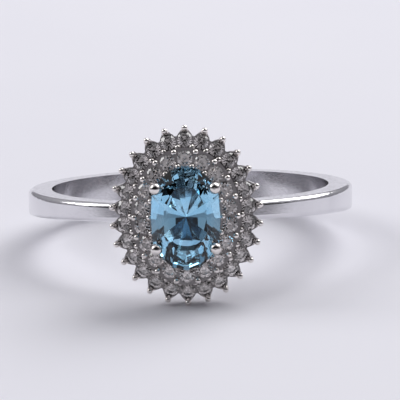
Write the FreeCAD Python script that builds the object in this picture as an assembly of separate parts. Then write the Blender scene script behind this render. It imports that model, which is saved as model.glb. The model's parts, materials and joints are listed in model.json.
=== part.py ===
# Cocktail ring: oval centre stone in a four-claw basket, an inner and an outer halo of round
# brilliants on two stepped oval plates, and a tapered shank. Units are millimetres.
#
# Working frame: origin at the centre of the finger bore, Y along the finger, Z up through the
# centre stone. At the end every piece gets one placement, which lays the ring on a level surface
# with the stone facing -Y, resting on the lowest outer prong and the back of the shank.
import FreeCAD, Part
import math
import os

Vector = FreeCAD.Vector

# ---- Shank ----
bore_radius = 8.65
shank_wall = 1.45
shank_width_at_head = 1.05
shank_width_at_back = 2.20
shank_edge_round = 0.28
seat_depth = 0.35

# ---- Centre stone: an oval brilliant ----
centre_stone_width = 4.00
centre_stone_length = 6.00
centre_crown_height = 0.62
centre_girdle_thickness = 0.12
centre_pavilion_depth = 1.85
centre_table_ratio = 0.64
centre_girdle_rise = 3.20
# Corners of a quarter of its outline, as parts of the half width and half length.
centre_outline = ((0.0, 1.0), (0.40, 0.935), (0.70, 0.760), (0.955, 0.46), (1.0, 0.0))

# ---- Halos: round brilliants at equal steps along an oval ----
outer_count = 26
outer_stone_diameter = 0.90
outer_half_width = 3.66
outer_half_length = 4.42
outer_lean_deg = 16.0
inner_count = 18
inner_stone_diameter = 0.94
inner_half_width = 2.57
inner_half_length = 3.38
inner_lean_deg = 8.0
melee_seat_clearance = 0.02
melee_rise = 0.12
light_hole_radius = 0.14

# ---- Halo plates ----
outer_plate_rise = 1.25
outer_plate_thickness = 0.50
plate_rim = 0.22
cup_wall = 0.06
tier_step = 0.85
inner_plate_thickness = 0.36
skirt_thickness = 0.20
skirt_inset = 0.34

# ---- Prongs and beads that hold the melee ----
prong_radius = 0.17
prong_length = 0.30
bead_radius = 0.19
bead_post_radius = 0.12
bead_offset = 0.43
bead_rise_inner = 0.30
bead_headroom = 0.02
inner_bead_radius = 0.18

# ---- Gallery under the head ----
gallery_half_width = 2.05
gallery_half_length = 2.95
gallery_rail_width = 0.45
gallery_rail_height = 0.45
gallery_post_count = 8
gallery_post_radius = 0.24
gallery_flare = 1.10

# ---- Basket and claws of the centre stone ----
basket_half_width = 1.15
basket_half_length = 1.45
basket_rail_width = 0.42
basket_lower_height = 0.40
basket_upper_rise = 1.65
basket_upper_height = 0.34
basket_upper_half_width = 1.36
basket_upper_half_length = 1.74
claw_radius = 0.23
claw_ball_radius = 0.35
claw_ball_across = 1.70
claw_ball_along = 1.74
claw_ball_rise = 0.36
claw_waist_drop = 0.85
claw_waist_across = 1.34
claw_waist_along = 1.33
claw_girdle_gap = 0.02
solder_gap = 0.02

shank_outer_radius = bore_radius + shank_wall
seat_level = shank_outer_radius - seat_depth
outer_plate_top = shank_outer_radius + outer_plate_rise
centre_girdle_height = shank_outer_radius + centre_girdle_rise
basket_upper_level = shank_outer_radius + basket_upper_rise
prong_offset = outer_stone_diameter / 2.0 + prong_radius
inner_plate_top = outer_plate_top + tier_step
bead_rise_outer = tier_step - inner_plate_thickness - bead_radius - bead_headroom


# ---- Faceted stones ----
def clip(polygon, normal, offset):
    """The part of a flat polygon on the inner side of the plane normal . p = offset."""
    kept = []
    for i, here in enumerate(polygon):
        after = polygon[(i + 1) % len(polygon)]
        d0 = normal.dot(here) - offset
        d1 = normal.dot(after) - offset
        if d0 <= 0:
            kept.append(here)
        if (d0 < 0 < d1) or (d1 < 0 < d0):
            kept.append(here + (after - here) * (d0 / (d0 - d1)))
    return kept


def convex_solid(planes):
    """The solid behind every plane of the list, as flat faces."""
    faces = []
    for i, (normal, offset) in enumerate(planes):
        side = normal.cross(Vector(0.31, 0.83, 0.46)).normalize()
        other = normal.cross(side)
        middle = normal * offset
        polygon = [middle + side * u + other * v for u, v in ((9, 9), (-9, 9), (-9, -9), (9, -9))]
        for j, (cut_normal, cut_offset) in enumerate(planes):
            if j != i and len(polygon) > 2:
                polygon = clip(polygon, cut_normal, cut_offset)
        corners = []
        for p in polygon:
            if not corners or (p - corners[-1]).Length > 1e-6:
                corners.append(p)
        if len(corners) > 2 and (corners[0] - corners[-1]).Length <= 1e-6:
            corners.pop()
        if len(corners) > 2:
            faces.append(Part.Face(Part.makePolygon(corners + [corners[0]])))
    shell = Part.Shell(faces)
    shell.sewShape()
    return Part.Solid(shell)


def plane_through(point_a, point_b, point_c):
    """Unit normal and offset of the plane through three points, facing away from the origin."""
    normal = (point_b - point_a).cross(point_c - point_a).normalize()
    offset = normal.dot(point_a)
    if offset < 0:
        return (normal * -1.0, -offset)
    return (normal, offset)


def round_outline(turn_deg):
    """The unit circle; every 22.5 degrees is a corner of the girdle."""
    a = math.radians(turn_deg)
    return Vector(math.sin(a), math.cos(a), 0)


def oblong_outline(turn_deg):
    """The centre stone's outline in units of its half width and half length.

    Sixteen corners: straighter sides than an ellipse and corners cut where the claws hold."""
    corner = int(round(turn_deg / 22.5)) % 16
    quarter, step = divmod(corner, 4)
    across, along = centre_outline[step if quarter % 2 == 0 else 4 - step]
    return Vector(across if quarter < 2 else -across, along if quarter in (0, 3) else -along, 0)


def brilliant(outline, half_width, half_length, crown, girdle, pavilion, table_ratio):
    """A brilliant cut with its girdle at z = 0: table, stars, kites, upper and lower halves."""
    half = girdle / 2.0
    culet = Vector(0, 0, -half - pavilion)
    kite_ratio = (1.0 + table_ratio) / 2.0 + 0.02
    kite_height = half + crown * (1.0 - kite_ratio) / (1.0 - table_ratio) * 1.10
    low_ratio = 0.22
    low_height = culet.z + pavilion * low_ratio * 1.10
    main_ratio = table_ratio / math.cos(math.radians(22.5)) * 0.985

    def corner(ratio, turn_deg, height):
        p = outline(turn_deg)
        return Vector(p.x * half_width * ratio, p.y * half_length * ratio, height)

    facets = []
    for k in range(8):
        t = 45.0 * k
        tip = corner(1.0, t, half)
        along = corner(1.0, t + 22.5, 0) - corner(1.0, t - 22.5, 0)
        table_start = corner(table_ratio, t + 22.5, half + crown)
        table_end = corner(table_ratio, t - 22.5, half + crown)
        facets.append((table_start, table_end, corner(kite_ratio, t, kite_height)))
        facets.append((tip, corner(main_ratio, t, half + crown), tip + along))
        facets.append((corner(0.985, t, -half), culet, culet + along))
        for side in (t - 22.5, t + 22.5):
            facets.append((tip, corner(1.0, side, half), corner(kite_ratio, side, kite_height)))
            edge = (corner(1.0, t, -half), corner(1.0, side, -half))
            facets.append((*edge, corner(low_ratio, side, low_height)))
    for k in range(16):
        a = corner(1.0, 22.5 * k, -half)
        b = corner(1.0, 22.5 * k + 22.5, -half)
        facets.append((a, b, b + Vector(0, 0, girdle)))
    planes = [(Vector(0, 0, 1), half + crown)]
    planes.extend(plane_through(*points) for points in facets)
    return convex_solid(planes)


def brilliant_round(diameter):
    r = diameter / 2.0
    return brilliant(round_outline, r, r, 0.155 * diameter, 0.03 * diameter, 0.43 * diameter, 0.56)


# ---- Ovals ----
def oval_stations(half_width, half_length, count, shift=0.0):
    """Points at equal steps along an oval, the first on its long axis, each with its outward turn.

    shift moves them all by a part of a step. The turn is the angle from +X to the outward normal."""
    fine = 7200
    length = [0.0]
    last = Vector(0, half_length, 0)
    for i in range(1, fine + 1):
        a = 2 * math.pi * i / fine
        p = Vector(half_width * math.sin(a), half_length * math.cos(a), 0)
        length.append(length[-1] + (p - last).Length)
        last = p
    stations = []
    i = 0
    for k in range(count):
        wanted = length[-1] * (((k + shift) / count) % 1.0)
        if wanted < length[i]:
            i = 0
        while length[i + 1] < wanted:
            i += 1
        a = 2 * math.pi * (i + (wanted - length[i]) / (length[i + 1] - length[i])) / fine
        x = half_width * math.sin(a)
        y = half_length * math.cos(a)
        turn = math.atan2(y / half_length ** 2, x / half_width ** 2)
        stations.append((Vector(x, y, 0), math.degrees(turn)))
    return stations


def oval_disc(half_width, half_length, bottom, height):
    """A right prism on an oval whose long axis is Y."""
    if half_length >= half_width:
        edge = Part.Ellipse(Vector(0, 0, 0), half_length, half_width).toShape()
        turn = 90
    else:
        edge = Part.Ellipse(Vector(0, 0, 0), half_width, half_length).toShape()
        turn = 0
    disc = Part.Face(Part.Wire([edge])).extrude(Vector(0, 0, height))
    disc.rotate(Vector(0, 0, 0), Vector(0, 0, 1), turn)
    disc.translate(Vector(0, 0, bottom))
    return disc


def oval_ring(half_width, half_length, width, bottom, height):
    """A flat oval ring, given by its centre line and the width of its section."""
    h = width / 2.0
    outside = oval_disc(half_width + h, half_length + h, bottom, height)
    return outside.cut(oval_disc(half_width - h, half_length - h, bottom - 1, height + 2))


def at_station(shape, station, level):
    """A copy of a piece modelled about the origin with +X outward, moved to a station."""
    copy = shape.copy()
    point, turn = station
    copy.rotate(Vector(0, 0, 0), Vector(0, 0, 1), turn)
    copy.translate(point + Vector(0, 0, level))
    return copy


def leaned(shape, lean_deg):
    """The piece leaned outward, which is toward +X."""
    copy = shape.copy()
    copy.rotate(Vector(0, 0, 0), Vector(0, 1, 0), lean_deg)
    return copy


def above(shape, level):
    """What of a small piece is above a level, so that it gets a flat foot."""
    box = Part.makeBox(8, 8, 8, Vector(-4, -4, level))
    return shape.common(box)


def rod(start, end, radius):
    return Part.makeCylinder(radius, (end - start).Length, start, end - start)


# ---- Melee, its prongs and its seats, as patterns about one stone centre ----
def melee_seat(diameter, lean_deg):
    """The tool that sinks a conical seat and a light hole below a stone whose girdle is at z = 0."""
    c = melee_seat_clearance
    r = diameter / 2.0 + c
    girdle_half = 0.015 * diameter
    depth = (0.43 * diameter + girdle_half + c) * 1.06
    cone = Part.makeCone(0.0, r, depth, Vector(0, 0, -depth - girdle_half))
    well = Part.makeCylinder(r, 1.0, Vector(0, 0, -girdle_half))
    hole = Part.makeCylinder(light_hole_radius, 2.0, Vector(0, 0, -2.0 - girdle_half))
    return leaned(cone.fuse(well).fuse(hole), lean_deg)


def outer_prong():
    """A round post outside the stone, leaned with it, with a rounded tip and a flat foot."""
    post = Part.makeCylinder(prong_radius, 1.2 + prong_length, Vector(prong_offset, 0, -1.2))
    tip = Part.makeSphere(prong_radius, Vector(prong_offset, 0, prong_length))
    return above(leaned(post.fuse(tip), outer_lean_deg), -melee_rise)


def bead(radius, rise):
    """A round grain on a short post that stands on the plate."""
    post = Part.makeCylinder(bead_post_radius, rise, Vector(0, 0, 0))
    ball = Part.makeSphere(radius, Vector(0, 0, rise))
    return post.fuse(above(ball, 0.0))


def bead_stations(half_width, half_length, count, offset):
    """Halfway between neighbouring stones, moved by offset along the outward normal."""
    stations = []
    for point, turn in oval_stations(half_width, half_length, count, 0.5):
        a = math.radians(turn)
        moved = point + Vector(offset * math.cos(a), offset * math.sin(a), 0)
        stations.append((moved, turn))
    return stations


def halo_plate(half_width, half_length, inner_rim, outer_rim, top, thickness, tool, stations, cups=None):
    """A flat oval ring with one seat for each stone, and cups that scallop its edge if given."""
    outside = oval_disc(half_width + outer_rim, half_length + outer_rim, top - thickness, thickness)
    inside = oval_disc(half_width - inner_rim, half_length - inner_rim, top - thickness - 1, thickness + 2)
    plate = outside.cut(inside)
    if cups is not None:
        plate = plate.fuse([at_station(cups, s, top + melee_rise) for s in stations])
    return plate.cut([at_station(tool, s, top + melee_rise) for s in stations])


def outer_cup():
    """The round wall about one outer stone, with the stump that its prong stands on."""
    wall = Part.makeCylinder(outer_stone_diameter / 2.0 + cup_wall, 3, Vector(0, 0, -2))
    stump = Part.makeCylinder(prong_radius, 3, Vector(prong_offset, 0, -2))
    both = leaned(wall.fuse(stump), outer_lean_deg)
    bottom = -melee_rise - outer_plate_thickness
    return both.common(Part.makeBox(8, 8, outer_plate_thickness, Vector(-4, -4, bottom)))


pieces = {}

# ---- Shank: a tube that gets narrower toward the head ----
tube = Part.makeCylinder(shank_outer_radius, 20, Vector(0, -10, 0), Vector(0, 1, 0))
reach = shank_outer_radius
top_half = shank_width_at_head / 2.0
back_half = shank_width_at_back / 2.0
outline = [
    Vector(-reach - 1, -back_half, -reach),
    Vector(-reach - 1, back_half, -reach),
    Vector(-reach - 1, top_half, reach),
    Vector(-reach - 1, -top_half, reach),
]
taper = Part.Face(Part.makePolygon(outline + [outline[0]])).extrude(Vector(2 * reach + 2, 0, 0))
blank = tube.common(taper)
rounded = [e for e in blank.Edges if e.Length > reach]
blank = blank.makeFillet(shank_edge_round, rounded)
bore = Part.makeCylinder(bore_radius, 30, Vector(0, -15, 0), Vector(0, 1, 0))
seat_cut = Part.makeBox(2 * reach, 10, 5, Vector(-reach, -5, seat_level))
pieces["shank"] = blank.cut(bore).cut(seat_cut)

# ---- Gallery under the head ----
pieces["under_gallery_rail"] = oval_ring(
    gallery_half_width, gallery_half_length, gallery_rail_width, seat_level, gallery_rail_height
)
post_bottom = seat_level + gallery_rail_height
post_top = outer_plate_top - outer_plate_thickness
posts = []
for point, turn in oval_stations(gallery_half_width, gallery_half_length, gallery_post_count, 0.5):
    a = math.radians(turn)
    outward = Vector(gallery_flare * math.cos(a), gallery_flare * math.sin(a), post_top - post_bottom)
    foot = point + Vector(0, 0, post_bottom)
    long_rod = rod(foot - outward, foot + outward * 2, gallery_post_radius)
    slab = Part.makeBox(20, 20, post_top - post_bottom, Vector(-10, -10, post_bottom))
    posts.append(long_rod.common(slab))
pieces["gallery_posts"] = Part.Compound(posts)

# ---- Halos ----
outer_stations = oval_stations(outer_half_width, outer_half_length, outer_count)
inner_stations = oval_stations(inner_half_width, inner_half_length, inner_count)
outer_stone = leaned(brilliant_round(outer_stone_diameter), outer_lean_deg)
inner_stone = leaned(brilliant_round(inner_stone_diameter), inner_lean_deg)
for k, station in enumerate(outer_stations):
    pieces["outer_halo_stone_%02d" % (k + 1)] = at_station(outer_stone, station, outer_plate_top + melee_rise)
for k, station in enumerate(inner_stations):
    pieces["inner_halo_stone_%02d" % (k + 1)] = at_station(inner_stone, station, inner_plate_top + melee_rise)

skirt_half_width = outer_half_width - outer_stone_diameter / 2.0 - skirt_inset
skirt_half_length = outer_half_length - outer_stone_diameter / 2.0 - skirt_inset
outer_inner_rim = outer_half_width - skirt_half_width + skirt_thickness / 2.0 + 0.05
pieces["outer_halo_plate"] = halo_plate(
    outer_half_width,
    outer_half_length,
    outer_inner_rim,
    plate_rim,
    outer_plate_top,
    outer_plate_thickness,
    melee_seat(outer_stone_diameter, outer_lean_deg),
    outer_stations,
    outer_cup(),
)
inner_bead_reach = bead_offset + inner_bead_radius
inner_plate = halo_plate(
    inner_half_width,
    inner_half_length,
    inner_bead_reach,
    inner_bead_reach,
    inner_plate_top,
    inner_plate_thickness,
    melee_seat(inner_stone_diameter, inner_lean_deg),
    inner_stations,
)
skirt = oval_ring(
    skirt_half_width,
    skirt_half_length,
    skirt_thickness,
    outer_plate_top,
    tier_step - inner_plate_thickness,
)
pieces["inner_halo_plate"] = inner_plate.fuse(skirt).removeSplitter()

prong = outer_prong()
pieces["outer_tip_prongs"] = Part.Compound(
    [at_station(prong, s, outer_plate_top + melee_rise) for s in outer_stations]
)
outer_row = (outer_half_width, outer_half_length, outer_count)
inner_row = (inner_half_width, inner_half_length, inner_count)
outer_bead = bead(bead_radius, bead_rise_outer)
inner_bead = bead(inner_bead_radius, bead_rise_inner)
rows = (
    ("outer_halo_beads", outer_row, -bead_offset, outer_plate_top, outer_bead),
    ("inner_halo_outer_beads", inner_row, bead_offset, inner_plate_top, inner_bead),
    ("inner_halo_inner_beads", inner_row, -bead_offset, inner_plate_top, inner_bead),
)
for name, row, offset, level, one in rows:
    pieces[name] = Part.Compound([at_station(one, s, level) for s in bead_stations(*row, offset)])

# ---- Centre stone, basket and claws ----
centre = brilliant(
    oblong_outline,
    centre_stone_width / 2.0,
    centre_stone_length / 2.0,
    centre_crown_height,
    centre_girdle_thickness,
    centre_pavilion_depth,
    centre_table_ratio,
)
girdle_top = centre_girdle_height + centre_girdle_thickness / 2.0
envelope = brilliant(
    oblong_outline,
    centre_stone_width / 2.0 + claw_girdle_gap,
    centre_stone_length / 2.0 + claw_girdle_gap,
    centre_crown_height + claw_girdle_gap,
    centre_girdle_thickness + claw_girdle_gap,
    centre_pavilion_depth + claw_girdle_gap,
    centre_table_ratio,
)
centre.translate(Vector(0, 0, centre_girdle_height))
envelope.translate(Vector(0, 0, centre_girdle_height))
pieces["centre_stone"] = centre

lower_top = seat_level + basket_lower_height
foot_angle = math.atan2(claw_ball_along, claw_ball_across)
foot = Vector(basket_half_width * math.cos(foot_angle), basket_half_length * math.sin(foot_angle), lower_top)


def claw(radius, ball_radius):
    """A claw in the +X +Y quarter: a bent stem from the lower rail past the girdle to a round tip."""
    across = claw_ball_across / (centre_stone_width / 2.0) ** 2
    along = claw_ball_along / (centre_stone_length / 2.0) ** 2
    outward = Vector(across, along, 0).normalize()
    ball = Vector(claw_ball_across, claw_ball_along, girdle_top + claw_ball_rise)
    shoulder = ball + outward * (claw_radius * 0.75)
    shoulder.z = centre_girdle_height
    waist = Vector(claw_waist_across, claw_waist_along, centre_girdle_height - claw_waist_drop)
    below = foot + (foot - waist) * 0.2
    stem = rod(below, waist, radius).fuse(Part.makeSphere(radius, waist))
    stem = stem.fuse(rod(waist, shoulder, radius)).fuse(Part.makeSphere(radius, shoulder))
    stem = stem.fuse(rod(shoulder, ball, radius)).fuse(Part.makeSphere(ball_radius, ball))
    box = Part.makeBox(8, 8, 8, Vector(-4, -4, lower_top))
    return stem.common(box)


one_claw = claw(claw_radius, claw_ball_radius).cut(envelope)
wide_claw = claw(claw_radius + solder_gap, claw_ball_radius)
quarters = (("front_right", 1, -1), ("front_left", -1, -1), ("back_right", 1, 1), ("back_left", -1, 1))
notches = []
for name, sx, sy in quarters:
    placed = one_claw.copy()
    notch = wide_claw.copy()
    if sx < 0:
        placed = placed.mirror(Vector(0, 0, 0), Vector(1, 0, 0))
        notch = notch.mirror(Vector(0, 0, 0), Vector(1, 0, 0))
    if sy < 0:
        placed = placed.mirror(Vector(0, 0, 0), Vector(0, 1, 0))
        notch = notch.mirror(Vector(0, 0, 0), Vector(0, 1, 0))
    pieces["claw_" + name] = placed
    notches.append(notch)

pieces["basket_lower_rail"] = oval_ring(
    basket_half_width, basket_half_length, basket_rail_width, seat_level, basket_lower_height
)
upper_rail = oval_ring(
    basket_upper_half_width,
    basket_upper_half_length,
    basket_rail_width,
    basket_upper_level,
    basket_upper_height,
)
pieces["basket_upper_rail"] = upper_rail.cut(notches + [envelope])

# ---- Lay the ring down: stone toward -Y, resting on the lowest prong tip and the shank's back ----
lean = math.radians(outer_lean_deg)
tip_out = prong_offset * math.cos(lean) + prong_length * math.sin(lean)
tip_height = outer_plate_top + melee_rise + prong_length * math.cos(lean) - prong_offset * math.sin(lean)
tip_reach = outer_half_length + tip_out
run = tip_height + shank_outer_radius
drop = tip_reach - back_half
tilt = math.degrees(math.atan2(drop, run) + math.asin(prong_radius / math.hypot(run, drop)))
for name in pieces:
    pieces[name].rotate(Vector(0, 0, 0), Vector(1, 0, 0), 90.0 - tilt)
box = Part.Compound(list(pieces.values())).optimalBoundingBox(False)
origin = Vector(-(box.XMin + box.XMax) / 2.0, -(box.YMin + box.YMax) / 2.0, -box.ZMin)

os.makedirs("parts", exist_ok=True)
for name, shape in pieces.items():
    shape.translate(origin)
    shape.exportStep("parts/%s.step" % name)
print("tilt %.3f deg, bore centre at %.3f %.3f %.3f" % (tilt, origin.x, origin.y, origin.z))
print("size %.2f %.2f %.2f, %d nodes" % (box.XLength, box.YLength, box.ZLength, len(pieces)))
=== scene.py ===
import json
import math

import bmesh
import bpy
from bpy.props import FloatProperty, FloatVectorProperty, PointerProperty
from mathutils import Matrix, Vector


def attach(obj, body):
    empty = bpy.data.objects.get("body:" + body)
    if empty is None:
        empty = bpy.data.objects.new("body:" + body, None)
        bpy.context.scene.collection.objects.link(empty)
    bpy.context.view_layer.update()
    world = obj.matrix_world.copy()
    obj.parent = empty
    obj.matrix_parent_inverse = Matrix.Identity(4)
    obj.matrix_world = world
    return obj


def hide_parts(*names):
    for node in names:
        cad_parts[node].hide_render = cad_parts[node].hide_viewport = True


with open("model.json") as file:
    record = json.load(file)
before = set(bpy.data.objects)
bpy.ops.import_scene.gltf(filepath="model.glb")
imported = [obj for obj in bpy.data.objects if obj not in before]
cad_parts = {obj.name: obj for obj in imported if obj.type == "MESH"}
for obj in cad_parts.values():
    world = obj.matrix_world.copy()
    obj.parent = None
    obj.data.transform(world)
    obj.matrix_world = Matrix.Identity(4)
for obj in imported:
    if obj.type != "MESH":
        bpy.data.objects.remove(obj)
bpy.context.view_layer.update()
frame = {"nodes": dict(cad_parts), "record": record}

bl_info = {
    "name": "Cocktail ring looks",
    "version": (1, 0, 0),
    "blender": (4, 5, 0),
    "location": "View3D > Sidebar > Ring",
    "description": "Builds the looks of a double-halo cocktail ring over its packed CAD frame",
    "category": "Object",
}

MM = 0.001

# The ring's own directions, from its bore: the finger axis, and square to it the way the stone faces.
BORE = next(m for m in frame["record"]["mounts"] if m["name"] == "finger_bore")
CENTRE = Vector(BORE["pos_m"])
FINGER = Vector(BORE["axis"]).normalized()
FRONT = Vector((0, -1, 0))
FACING = (FRONT - FINGER * FRONT.dot(FINGER)).normalized()
ACROSS = Vector((1, 0, 0))

GRAIN_METAL_PAINTED_HIGHLIGHT = "rhodium_plated_silver_grains_burnished_painted_highlight"
GRAIN_ROWS = {
    "outer_tip_prongs": "outer_prong_row",
    "outer_halo_beads": "outer_grain_row",
    "inner_halo_outer_beads": "middle_grain_row",
    "inner_halo_inner_beads": "inner_grain_row",
}
GRAIN_SIZES = (
    "Grain Radius", "Post Radius", "Foot Radius", "Height", "Tooth Depth", "Tooth Reach", "Tooth Half Width",
)
FOOT_LAYER = 0.01 * MM  # what counts as the flat foot of a grain
STRAIGHT = math.radians(5)  # a grain that leans less than this stands square to the plate
SHARP_EDGE = math.radians(40)
MERGE = 1e-7  # the CAD mesh is loose triangles, whose corners agree to this

# Real sizes of the patterns in the materials, in mm.
CLOUD_MM = 2.5  # soft patches where a polishing wheel has dwelt
SHANK_MARKS_MM = 0.25
HEAD_MARKS_MM = 0.15
GRAIN_MARKS_MM = 0.10
LAP_LINES_MM = 0.12
TOPAZ_ZONES_MM = 2.0
WHITE_ZONES_MM = 0.6
PAPER_CLOUDS_MM = 40.0
TOPAZ_IOR = 1.62
ZIRCONIA_IOR = 2.1

# The studio: a dark hood on the viewer's side, widest at its foot and open above, with a light patch
# round the viewer, a pale floor that fades into a pale background, and two windows.
ROOM_COLOURS = ((0.0, "#a9a8b0"), (0.25, "#c4c3ca"), (0.8, "#f6f6fa"))  # from the horizon up
HOOD_HALF_WIDTH = math.radians(85)
HOOD_FOOT = math.radians(14)
HOOD_TOP = math.radians(115)
HOOD_COLOUR = (0.022, 0.022, 0.023, 1.0)
OPEN_COLOUR = (1.0, 1.0, 1.0, 1.0)
PATCH_RADIUS = math.radians(13)
FLOOR_RADIUS = 1.2
FLOOR_SIDES = 96
FADE_START, FADE_END = 150 * MM, 450 * MM
WINDOWS = (
    ("window_back_right", (0.36, 0.36, 0.52), 0.60, 1.0),
    ("window_left", (-0.45, 0.05, 0.35), 0.30, 0.25),
)
CAMERA_SHIFT = (0.024, -0.005)
CAMERA_NEAR = 10 * MM


def linear(code):
    """A linear RGBA colour from an sRGB hex code."""
    values = [int(code[i:i + 2], 16) / 255.0 for i in (1, 3, 5)]
    out = [v / 12.92 if v <= 0.04045 else ((v + 0.055) / 1.055) ** 2.4 for v in values]
    return (*out, 1.0)


def colour(name, description, code):
    """A colour property whose default is an sRGB hex code."""
    return FloatVectorProperty(
        name=name, description=description, default=linear(code)[:3],
        size=3, subtype="COLOR", min=0.0, max=1.0,
    )


def add(tree, kind, links=None, stops=(), **settings):
    """A node with its settings. Links take sockets, nodes (their first output), lists or plain values."""
    node = tree.nodes.new(kind)
    for name, value in settings.items():
        if name in node.bl_rna.properties:
            setattr(node, name, value)
        else:
            node.inputs[name.replace("_", " ")].default_value = value
    for socket, sources in (links or {}).items():
        for source in sources if isinstance(sources, list) else [sources]:
            if isinstance(source, bpy.types.Node):
                source = source.outputs[0]
            if isinstance(source, bpy.types.NodeSocket):
                tree.links.new(source, node.inputs[socket])
            else:
                node.inputs[socket].default_value = source
    while stops and len(node.color_ramp.elements) < len(stops):
        node.color_ramp.elements.new(0.5)
    for i, (position, shade) in enumerate(stops):
        node.color_ramp.elements[i].position = position
        node.color_ramp.elements[i].color = shade
    return node


def new_material(name):
    """An empty node material."""
    material = bpy.data.materials.new(name)
    material.use_nodes = True
    material.node_tree.nodes.clear()
    return material, material.node_tree


def polished_metal(name, bright, dull, roughness, haze, marks_mm, bump_mm):
    """White metal from a polishing wheel: clear reflections that hair-fine marks soften in places."""
    material, tree = new_material(name)
    where = add(tree, "ShaderNodeTexCoord").outputs["Object"]
    along = add(tree, "ShaderNodeMapping", {"Vector": where}, Scale=(1.0, 1.0, 3.0))
    cloud = add(tree, "ShaderNodeTexNoise", {"Vector": where}, Scale=1.0 / (CLOUD_MM * MM), Detail=3.0)
    marks = add(tree, "ShaderNodeTexNoise", {"Vector": along}, Scale=1.0 / (marks_mm * MM), Detail=4.0)
    tint = add(
        tree, "ShaderNodeValToRGB", {"Fac": cloud.outputs["Fac"]},
        stops=((0.35, (*bright, 1.0)), (0.7, (*dull, 1.0))),
    )
    rough = add(
        tree, "ShaderNodeMapRange", {"Value": marks.outputs["Fac"]},
        From_Min=0.35, From_Max=0.75, To_Min=roughness, To_Max=roughness + haze,
    )
    bump = add(tree, "ShaderNodeBump", {"Height": marks.outputs["Fac"]}, Strength=0.25, Distance=bump_mm * MM)
    shader = add(
        tree, "ShaderNodeBsdfPrincipled", {"Base Color": tint, "Roughness": rough, "Normal": bump},
        Metallic=1.0,
    )
    add(tree, "ShaderNodeOutputMaterial", {"Surface": shader})
    return material


def grain_metal_painted_highlight(looks):
    """Burnished grain tips, shared by the claws and the grains: the burnish gives the low roughness, and the
    colour is painted the brightest metal on the ring as a painted highlight.
    """
    # The fine marks of a beading tool only just break the reflections.
    return bpy.data.materials.get(GRAIN_METAL_PAINTED_HIGHLIGHT) or polished_metal(
        GRAIN_METAL_PAINTED_HIGHLIGHT, looks.grain_painted_highlight_colour, looks.grain_painted_highlight_dull, 0.015, 0.03, GRAIN_MARKS_MM, 0.0005,
    )


def cut_gem(name, light, deep, ior, zone_mm):
    """A lapped and polished clear stone whose tint deepens in soft growth zones."""
    material, tree = new_material(name)
    where = add(tree, "ShaderNodeTexCoord").outputs["Object"]
    zones = add(tree, "ShaderNodeTexNoise", {"Vector": where}, Scale=1.0 / (zone_mm * MM), Detail=2.0)
    tint = add(
        tree, "ShaderNodeValToRGB", {"Fac": zones.outputs["Fac"]},
        stops=((0.38, (*light, 1.0)), (0.66, (*deep, 1.0))),
    )
    # Lapping lines are far finer than can be seen, so they are drawn coarser, as a slight softness.
    lines = add(tree, "ShaderNodeTexNoise", {"Vector": where}, Scale=1.0 / (LAP_LINES_MM * MM), Detail=2.0)
    rough = add(
        tree, "ShaderNodeMapRange", {"Value": lines.outputs["Fac"]},
        From_Min=0.3, From_Max=0.8, To_Min=0.0, To_Max=0.02,
    )
    shader = add(
        tree, "ShaderNodeBsdfPrincipled", {"Base Color": tint, "Roughness": rough},
        IOR=ior, Transmission_Weight=1.0,
    )
    add(tree, "ShaderNodeOutputMaterial", {"Surface": shader})
    return material


def assign(names, material):
    """Gives CAD nodes a material, in every slot."""
    if not names:
        raise RuntimeError("no CAD node for " + material.name)
    for name in names:
        mesh = frame["nodes"][name].data
        if not mesh.materials:
            mesh.materials.append(material)
        for i in range(len(mesh.materials)):
            mesh.materials[i] = material


def viewer_direction(looks):
    """The direction from the bore centre to the camera."""
    level = ACROSS * math.sin(looks.swing) + FACING * math.cos(looks.swing)
    return (level * math.cos(looks.rise) + FINGER * math.sin(looks.rise)).normalized()


def mean(points):
    """The middle of some points."""
    return sum(points, Vector()) / len(points)


def loose_solids(node):
    """The vertex positions of each separate solid of a CAD node, in a steady order."""
    bm = bmesh.new()
    bm.from_mesh(frame["nodes"][node].data)
    bmesh.ops.remove_doubles(bm, verts=bm.verts, dist=MERGE)
    left = set(bm.verts)
    solids = []
    for start in bm.verts:
        if start not in left:
            continue
        left.discard(start)
        solid, edge = [start], [start]
        while edge:
            for link in edge.pop().link_edges:
                for vert in link.verts:
                    if vert in left:
                        left.discard(vert)
                        solid.append(vert)
                        edge.append(vert)
        solids.append([vert.co.copy() for vert in solid])
    bm.free()
    return solids


def grain_feet(node):
    """Where each grain of a row stands and which way it points, with the row's radii and height."""
    feet = []
    sizes = []
    for solid in loose_solids(node):
        low = min(p.dot(FACING) for p in solid)
        base = [p for p in solid if p.dot(FACING) < low + FOOT_LAYER]
        rest = [p for p in solid if p.dot(FACING) >= low + FOOT_LAYER]
        foot = mean(base)
        along = (mean(rest) - foot).normalized()
        outward = along - FACING * along.dot(FACING)
        if along.angle(FACING) < STRAIGHT:
            along, outward = FACING, FACING.orthogonal()
        reach = [(p - foot).dot(along) for p in solid]
        radius = max(((p - foot) - along * r).length for p, r in zip(solid, reach))
        post = min(radius, min((p - foot).length for p in base if (p - foot).length > 2 * FOOT_LAYER))
        feet.append((foot, along, outward.normalized()))
        sizes.append((radius, post, max(reach) - radius))
    middle = len(sizes) // 2
    return feet, [sorted(column)[middle] for column in zip(*sizes)]


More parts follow.
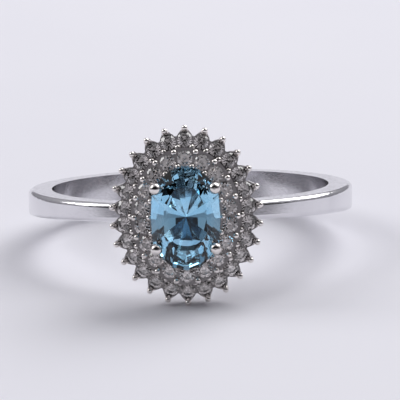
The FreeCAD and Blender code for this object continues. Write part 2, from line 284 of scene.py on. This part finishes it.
def grain_tree(name, material, toothed):
    """Nodes that stand a grain on each point, and if asked a pointed tooth of the plate under it."""
    tree = bpy.data.node_groups.new(name, "GeometryNodeTree")
    face = tree.interface
    face.new_socket(name="Geometry", in_out="INPUT", socket_type="NodeSocketGeometry")
    for size in GRAIN_SIZES:
        face.new_socket(name=size, in_out="INPUT", socket_type="NodeSocketFloat")
    face.new_socket(name="Geometry", in_out="OUTPUT", socket_type="NodeSocketGeometry")
    given = add(tree, "NodeGroupInput").outputs

    # One grain: a ball on a post that flares a little at its foot.
    ball = add(tree, "GeometryNodeMeshUVSphere", {"Radius": given["Grain Radius"]}, Segments=20, Rings=12)
    lift = add(tree, "ShaderNodeCombineXYZ", {"Z": given["Height"]})
    lifted = add(tree, "GeometryNodeTransform", {"Geometry": ball, "Translation": lift})
    post = add(
        tree, "GeometryNodeMeshCone",
        {"Radius Top": given["Post Radius"], "Radius Bottom": given["Foot Radius"], "Depth": given["Height"]},
        Vertices=16,
    )
    shapes = {"along": add(tree, "GeometryNodeJoinGeometry", {"Geometry": [lifted, post]})}

    # One tooth: the hull of a round tip under the prong and two small corners beside the stone.
    if toothed:
        tip_radius = add(tree, "ShaderNodeMath", {0: given["Post Radius"], 1: 0.75}, operation="MULTIPLY")
        corner_radius = add(tree, "ShaderNodeMath", {0: given["Post Radius"], 1: 0.2}, operation="MULTIPLY")
        depth = given["Tooth Depth"]
        tip = add(tree, "GeometryNodeMeshCylinder", {"Radius": tip_radius, "Depth": depth}, Vertices=12)
        corner = add(tree, "GeometryNodeMeshCylinder", {"Radius": corner_radius, "Depth": depth}, Vertices=8)
        back = add(tree, "ShaderNodeMath", {0: given["Tooth Reach"], 1: -1.0}, operation="MULTIPLY")
        outline = [tip]
        for side in (1.0, -1.0):
            half = add(tree, "ShaderNodeMath", {0: given["Tooth Half Width"], 1: side}, operation="MULTIPLY")
            place = add(tree, "ShaderNodeCombineXYZ", {"X": back, "Y": half})
            outline.append(add(tree, "GeometryNodeTransform", {"Geometry": corner, "Translation": place}))
        base = add(tree, "GeometryNodeJoinGeometry", {"Geometry": outline})
        hull = add(tree, "GeometryNodeConvexHull", {"Geometry": base})
        sink = add(tree, "ShaderNodeMath", {0: depth, 1: -0.55}, operation="MULTIPLY")
        below = add(tree, "ShaderNodeCombineXYZ", {"Z": sink})
        shapes["up"] = add(tree, "GeometryNodeTransform", {"Geometry": hull, "Translation": below})

    rows = []
    for axis, shape in shapes.items():
        turn = {}
        for socket, label in (("Primary Axis", axis), ("Secondary Axis", "outward")):
            read = add(tree, "GeometryNodeInputNamedAttribute", data_type="FLOAT_VECTOR", Name=label)
            turn[socket] = read.outputs["Attribute"]
        turned = add(tree, "FunctionNodeAxesToRotation", turn, primary_axis="Z", secondary_axis="X")
        rows.append(add(
            tree, "GeometryNodeInstanceOnPoints",
            {"Points": given["Geometry"], "Instance": shape, "Rotation": turned},
        ))
    together = add(tree, "GeometryNodeJoinGeometry", {"Geometry": rows})
    solid = add(tree, "GeometryNodeRealizeInstances", {"Geometry": together})
    finish = add(tree, "GeometryNodeSetMaterial", {"Geometry": solid}, Material=material)
    add(tree, "NodeGroupOutput", {"Geometry": finish})
    return tree


def grain_row(context, node, name, material, toothed):
    """One plain mesh of a whole row of grains, in place of a CAD node."""
    looks = context.scene.ring_looks
    feet, (radius, post, height) = grain_feet(node)
    points = bpy.data.meshes.new(name + "_points")
    points.from_pydata([foot[0] for foot in feet], [], [])
    axes = {
        "along": [foot[1] for foot in feet],
        "outward": [foot[2] for foot in feet],
        "up": [FACING] * len(feet),
    }
    for label, vectors in axes.items():
        layer = points.attributes.new(label, "FLOAT_VECTOR", "POINT")
        layer.data.foreach_set("vector", [part for vector in vectors for part in vector])
    holder = bpy.data.objects.new(name + "_holder", points)
    context.scene.collection.objects.link(holder)
    modifier = holder.modifiers.new("grains", "NODES")
    modifier.node_group = grain_tree(name, material, toothed)
    values = dict(zip(GRAIN_SIZES, (
        radius, post, post * looks.foot_flare, height,
        looks.tooth_depth, looks.tooth_reach, looks.tooth_half_width,
    )))
    for socket in modifier.node_group.interface.items_tree:
        if socket.in_out == "INPUT" and socket.name in values:
            modifier[socket.identifier] = values[socket.name]
    mesh = bpy.data.meshes.new_from_object(holder.evaluated_get(context.evaluated_depsgraph_get()))
    holder.modifiers.clear()
    bpy.data.objects.remove(holder)
    if not mesh.polygons:
        raise RuntimeError("no grains were made for " + node)
    mesh.shade_smooth()
    mesh.set_sharp_from_angle(angle=SHARP_EDGE)
    piece = bpy.data.objects.new(name, mesh)
    context.scene.collection.objects.link(piece)
    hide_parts(node)
    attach(piece, "root")


def build_floor(context):
    """A matte paper floor that fades into the background far from the ring."""
    looks = context.scene.ring_looks
    paper = (*looks.floor_colour, 1.0)
    background = (*looks.background_colour, 1.0)
    material, tree = new_material("pale_matte_paper_floor")
    where = add(tree, "ShaderNodeTexCoord").outputs["Object"]
    # Broad clouds, because paper fibres are too fine to show at this distance.
    fibre = add(tree, "ShaderNodeTexNoise", {"Vector": where}, Scale=1.0 / (PAPER_CLOUDS_MM * MM), Detail=2.0)
    tint = add(
        tree, "ShaderNodeValToRGB", {"Fac": fibre.outputs["Fac"]}, stops=((0.3, paper), (0.7, background)),
    )
    shader = add(
        tree, "ShaderNodeBsdfPrincipled", {"Base Color": tint}, Roughness=0.8, Specular_IOR_Level=0.2,
    )
    far = add(tree, "ShaderNodeVectorMath", {0: where}, operation="LENGTH").outputs["Value"]
    fade = add(
        tree, "ShaderNodeMapRange", {"Value": far}, interpolation_type="SMOOTHSTEP",
        From_Min=FADE_START, From_Max=FADE_END, To_Min=0.0, To_Max=1.0,
    )
    seen_directly = add(tree, "ShaderNodeLightPath").outputs["Is Camera Ray"]
    blend = add(tree, "ShaderNodeMath", {0: fade, 1: seen_directly}, operation="MULTIPLY")
    sweep = add(tree, "ShaderNodeEmission", Color=background, Strength=1.0)
    both = add(tree, "ShaderNodeMixShader", {0: blend, 1: shader, 2: sweep})
    add(tree, "ShaderNodeOutputMaterial", {"Surface": both})
    mesh = bpy.data.meshes.new("floor")
    bm = bmesh.new()
    bmesh.ops.create_circle(bm, cap_ends=True, radius=FLOOR_RADIUS, segments=FLOOR_SIDES)
    bm.to_mesh(mesh)
    bm.free()
    mesh.materials.append(material)
    floor = bpy.data.objects.new("floor", mesh)
    context.scene.collection.objects.link(floor)


def build_room(context):
    """The room's soft light, with the dark hood and the light patch that stones and claws mirror."""
    looks = context.scene.ring_looks
    world = bpy.data.worlds.new("studio")
    world.use_nodes = True
    tree = world.node_tree
    tree.nodes.clear()
    where = add(tree, "ShaderNodeTexCoord").outputs["Generated"]
    axes = add(tree, "ShaderNodeSeparateXYZ", {"Vector": where}).outputs
    height = add(
        tree, "ShaderNodeValToRGB", {"Fac": axes["Z"]},
        stops=[(level, linear(code)) for level, code in ROOM_COLOURS],
    )
    front = add(tree, "ShaderNodeMath", {0: axes["Y"], 1: -1.0}, operation="MULTIPLY")
    azimuth = add(tree, "ShaderNodeMath", {0: axes["X"], 1: front}, operation="ARCTAN2")
    aside = add(tree, "ShaderNodeMath", {0: azimuth}, operation="ABSOLUTE")
    rise = add(tree, "ShaderNodeMath", {0: axes["Z"]}, operation="ARCSINE")
    # Inside the hood, the share of its width and the share of its height add up to less than one.
    width_share = add(tree, "ShaderNodeMath", {0: aside, 1: HOOD_HALF_WIDTH}, operation="DIVIDE")
    height_share = add(
        tree, "ShaderNodeMapRange", {"Value": rise}, clamp=False, From_Min=HOOD_FOOT, From_Max=HOOD_TOP,
    )
    share = add(tree, "ShaderNodeMath", {0: width_share, 1: height_share}, operation="ADD")
    inside = add(tree, "ShaderNodeMath", {0: share, 1: 1.0}, operation="LESS_THAN")
    over_foot = add(tree, "ShaderNodeMath", {0: height_share, 1: 0.0}, operation="GREATER_THAN")
    hood = add(tree, "ShaderNodeMath", {0: inside, 1: over_foot}, operation="MULTIPLY")
    toward = add(
        tree, "ShaderNodeVectorMath", {0: where, 1: viewer_direction(looks)}, operation="DOT_PRODUCT",
    ).outputs["Value"]
    off_patch = add(tree, "ShaderNodeMath", {0: toward, 1: math.cos(PATCH_RADIUS)}, operation="LESS_THAN")
    dark = add(tree, "ShaderNodeMath", {0: hood, 1: off_patch}, operation="MULTIPLY")
    cover = add(tree, "ShaderNodeValToRGB", {"Fac": dark}, stops=((0.0, OPEN_COLOUR), (1.0, HOOD_COLOUR)))
    room = add(
        tree, "ShaderNodeMix", {"Factor": 1.0, 6: height, 7: cover}, data_type="RGBA", blend_type="MULTIPLY",
    )
    glow = add(tree, "ShaderNodeBackground", {"Color": room.outputs[2]}, Strength=looks.room_light)
    plain = add(tree, "ShaderNodeBackground", Color=(*looks.background_colour, 1.0), Strength=1.0)
    seen_directly = add(tree, "ShaderNodeLightPath").outputs["Is Camera Ray"]
    both = add(tree, "ShaderNodeMixShader", {0: seen_directly, 1: glow, 2: plain})
    add(tree, "ShaderNodeOutputWorld", {"Surface": both})
    context.scene.world = world


def build_windows(context):
    """Two square soft windows that face the ring."""
    for name, place, size, share in WINDOWS:
        lamp = bpy.data.lights.new(name, "AREA")
        lamp.size = size
        lamp.energy = context.scene.ring_looks.window_light * share
        light = bpy.data.objects.new(name, lamp)
        light.location = place
        light.rotation_euler = (-Vector(place)).to_track_quat("-Z", "Y").to_euler()
        context.scene.collection.objects.link(light)


def build_camera(context):
    """A long lens in front of the stone, a little above the ring's own plane."""
    looks = context.scene.ring_looks
    away = viewer_direction(looks)
    right = FINGER.cross(away).normalized()
    turn = Matrix((right, away.cross(right).normalized(), away)).transposed()
    turn = turn @ Matrix.Rotation(looks.roll, 3, "Z")
    lens = bpy.data.cameras.new("camera")
    lens.lens = looks.focal
    lens.clip_start = CAMERA_NEAR
    lens.shift_x, lens.shift_y = CAMERA_SHIFT
    camera = bpy.data.objects.new("camera", lens)
    camera.matrix_world = Matrix.Translation(CENTRE + away * looks.distance) @ turn.to_4x4()
    context.scene.collection.objects.link(camera)
    context.scene.camera = camera
    context.scene.view_settings.view_transform = "Standard"


class RingLooks(bpy.types.PropertyGroup):
    shank_colour: colour("Shank colour", "Polished metal of the shank", "#e4e3e6")
    shank_shade: colour("Shank shade", "The duller patches of the shank", "#d8d7db")
    # Head colour and head shade: the same metal as the shank painted greyer, as painted shade between and
    # under the stones.
    head_painted_shade_colour: colour("Head colour", "Metal of the plates, rails and posts", "#b4b0b0")
    head_painted_shade_dull: colour("Head shade", "The duller patches of the head", "#9e9a99")
    # Grain colour and grain shade: the same metal as the shank painted brighter, as a painted highlight on
    # the claws and grains.
    grain_painted_highlight_colour: colour("Grain colour", "Metal of the claws, prongs and grains", "#f0ebe8")
    grain_painted_highlight_dull: colour("Grain shade", "The duller patches of the grains", "#e2ddda")
    topaz_colour: colour("Topaz tint", "The light tint of the centre stone", "#b0e4ff")
    topaz_shade: colour("Topaz depth", "The deeper tint of the centre stone", "#84cff8")
    white_colour: colour("White stone tint", "The light tint of the halo stones", "#e8e3e1")
    white_shade: colour("White stone depth", "The deeper tint of the halo stones", "#d0cac8")
    floor_colour: colour("Floor", "Paper of the floor", "#e3e2ea")
    background_colour: colour("Background", "What is seen behind the floor", "#e6e5ec")
    foot_flare: FloatProperty(
        name="Foot flare", description="How much wider a post is at its foot", default=1.25, max=2.0,
    )
    tooth_depth: FloatProperty(
        name="Tooth depth", description="Thickness of the plate's teeth", default=0.40 * MM, unit="LENGTH",
    )
    tooth_reach: FloatProperty(
        name="Tooth reach", description="From a prong in to the tooth's wide side",
        default=0.30 * MM, unit="LENGTH",
    )
    tooth_half_width: FloatProperty(
        name="Tooth half width", description="Half the tooth's wide side", default=0.36 * MM, unit="LENGTH",
    )
    room_light: FloatProperty(
        name="Room light", description="Strength of the room's soft light", default=0.62,
    )
    window_light: FloatProperty(
        name="Window light", description="Power of the large window", default=4.0, unit="POWER",
    )
    focal: FloatProperty(name="Focal length", description="Camera lens", default=230.0, unit="CAMERA")
    distance: FloatProperty(
        name="Camera distance", description="From the bore centre", default=160 * MM, unit="LENGTH",
    )
    rise: FloatProperty(
        name="Camera rise", description="Above the ring's plane", default=math.radians(5.0), subtype="ANGLE",
    )
    swing: FloatProperty(
        name="Camera swing", description="To the right of the stone",
        default=math.radians(1.3), subtype="ANGLE",
    )
    roll: FloatProperty(
        name="Camera roll", description="Turn of the picture", default=math.radians(-1.2), subtype="ANGLE",
    )


class RING_OT_shank(bpy.types.Operator):
    """Gives the shank its wheel-polished metal"""
    bl_idname = "ring.shank"
    bl_label = "Shank"

    def execute(self, context):
        looks = context.scene.ring_looks
        # Polishing marks run round the band and give it a soft sheen rather than a mirror.
        metal = polished_metal(
            "rhodium_plated_silver_shank_polished", looks.shank_colour, looks.shank_shade,
            0.10, 0.10, SHANK_MARKS_MM, 0.002,
        )
        assign(["shank"], metal)
        return {"FINISHED"}


class RING_OT_head(bpy.types.Operator):
    """Gives the plates, rails and posts of the head their metal, greyed all over as painted shade"""
    bl_idname = "ring.head"
    bl_label = "Head"

    def execute(self, context):
        looks = context.scene.ring_looks
        # The head's metal is painted greyer than the shank, as painted shade for where it sits between and
        # under the stones.
        metal = polished_metal(
            "rhodium_plated_silver_head_painted_shade", looks.head_painted_shade_colour, looks.head_painted_shade_dull,
            0.08, 0.10, HEAD_MARKS_MM, 0.002,
        )
        assign([n for n in frame["nodes"] if n.endswith(("plate", "rail")) or n == "gallery_posts"], metal)
        return {"FINISHED"}


class RING_OT_claws(bpy.types.Operator):
    """Gives the four ball-tipped claws their burnished metal, painted brighter than the shank as a painted
    highlight
    """
    bl_idname = "ring.claws"
    bl_label = "Claws"

    def execute(self, context):
        assign([n for n in frame["nodes"] if n.startswith("claw")], grain_metal_painted_highlight(context.scene.ring_looks))
        return {"FINISHED"}


class RING_OT_grains(bpy.types.Operator):
    """Makes the rows of tip prongs and round grains smooth, each row one piece"""
    bl_idname = "ring.grains"
    bl_label = "Prongs and grains"

    def execute(self, context):
        # The grains' metal is painted brighter than the shank, as a painted highlight.
        metal = grain_metal_painted_highlight(context.scene.ring_looks)
        for node, name in GRAIN_ROWS.items():
            grain_row(context, node, name, metal, toothed=node == "outer_tip_prongs")
        return {"FINISHED"}


class RING_OT_centre_stone(bpy.types.Operator):
    """Gives the oval centre stone its pale blue"""
    bl_idname = "ring.centre_stone"
    bl_label = "Centre stone"

    def execute(self, context):
        looks = context.scene.ring_looks
        # Pale and deeper blue drift across the stone, under the flashes from its facets.
        gem = cut_gem(
            "blue_topaz_faceted_polished", looks.topaz_colour, looks.topaz_shade, TOPAZ_IOR, TOPAZ_ZONES_MM,
        )
        assign(["centre_stone"], gem)
        return {"FINISHED"}


class RING_OT_halo_stones(bpy.types.Operator):
    """Gives the small round stones their clear white"""
    bl_idname = "ring.halo_stones"
    bl_label = "Halo stones"

    def execute(self, context):
        looks = context.scene.ring_looks
        # Small bright stones that differ a little in tint, since the zones are narrower than a stone.
        gem = cut_gem(
            "white_zirconia_faceted_polished", looks.white_colour, looks.white_shade,
            ZIRCONIA_IOR, WHITE_ZONES_MM,
        )
        assign([n for n in frame["nodes"] if "halo_stone" in n], gem)
        return {"FINISHED"}


class RING_OT_stage(bpy.types.Operator):
    """Builds the floor, the room, the windows and the camera"""
    bl_idname = "ring.stage"
    bl_label = "Stage"

    def execute(self, context):
        build_floor(context)
        build_room(context)
        build_windows(context)
        build_camera(context)
        return {"FINISHED"}


class RING_PT_panel(bpy.types.Panel):
    bl_label = "Cocktail ring"
    bl_idname = "RING_PT_panel"
    bl_space_type = "VIEW_3D"
    bl_region_type = "UI"
    bl_category = "Ring"

    def draw(self, context):
        for name in RingLooks.__annotations__:
            self.layout.prop(context.scene.ring_looks, name)
        for operator in OPERATORS:
            self.layout.operator(operator.bl_idname)


OPERATORS = (
    RING_OT_shank,
    RING_OT_head,
    RING_OT_claws,
    RING_OT_grains,
    RING_OT_centre_stone,
    RING_OT_halo_stones,
    RING_OT_stage,
)
CLASSES = (RingLooks, *OPERATORS, RING_PT_panel)


def register():
    for cls in CLASSES:
        bpy.utils.register_class(cls)
    bpy.types.Scene.ring_looks = PointerProperty(type=RingLooks)


def unregister():
    del bpy.types.Scene.ring_looks
    for cls in reversed(CLASSES):
        bpy.utils.unregister_class(cls)


def main():
    register()
    bpy.ops.ring.shank()
    bpy.ops.ring.head()
    bpy.ops.ring.claws()
    bpy.ops.ring.grains()
    bpy.ops.ring.centre_stone()
    bpy.ops.ring.halo_stones()
    bpy.ops.ring.stage()


if __name__ == "__main__":
    main()
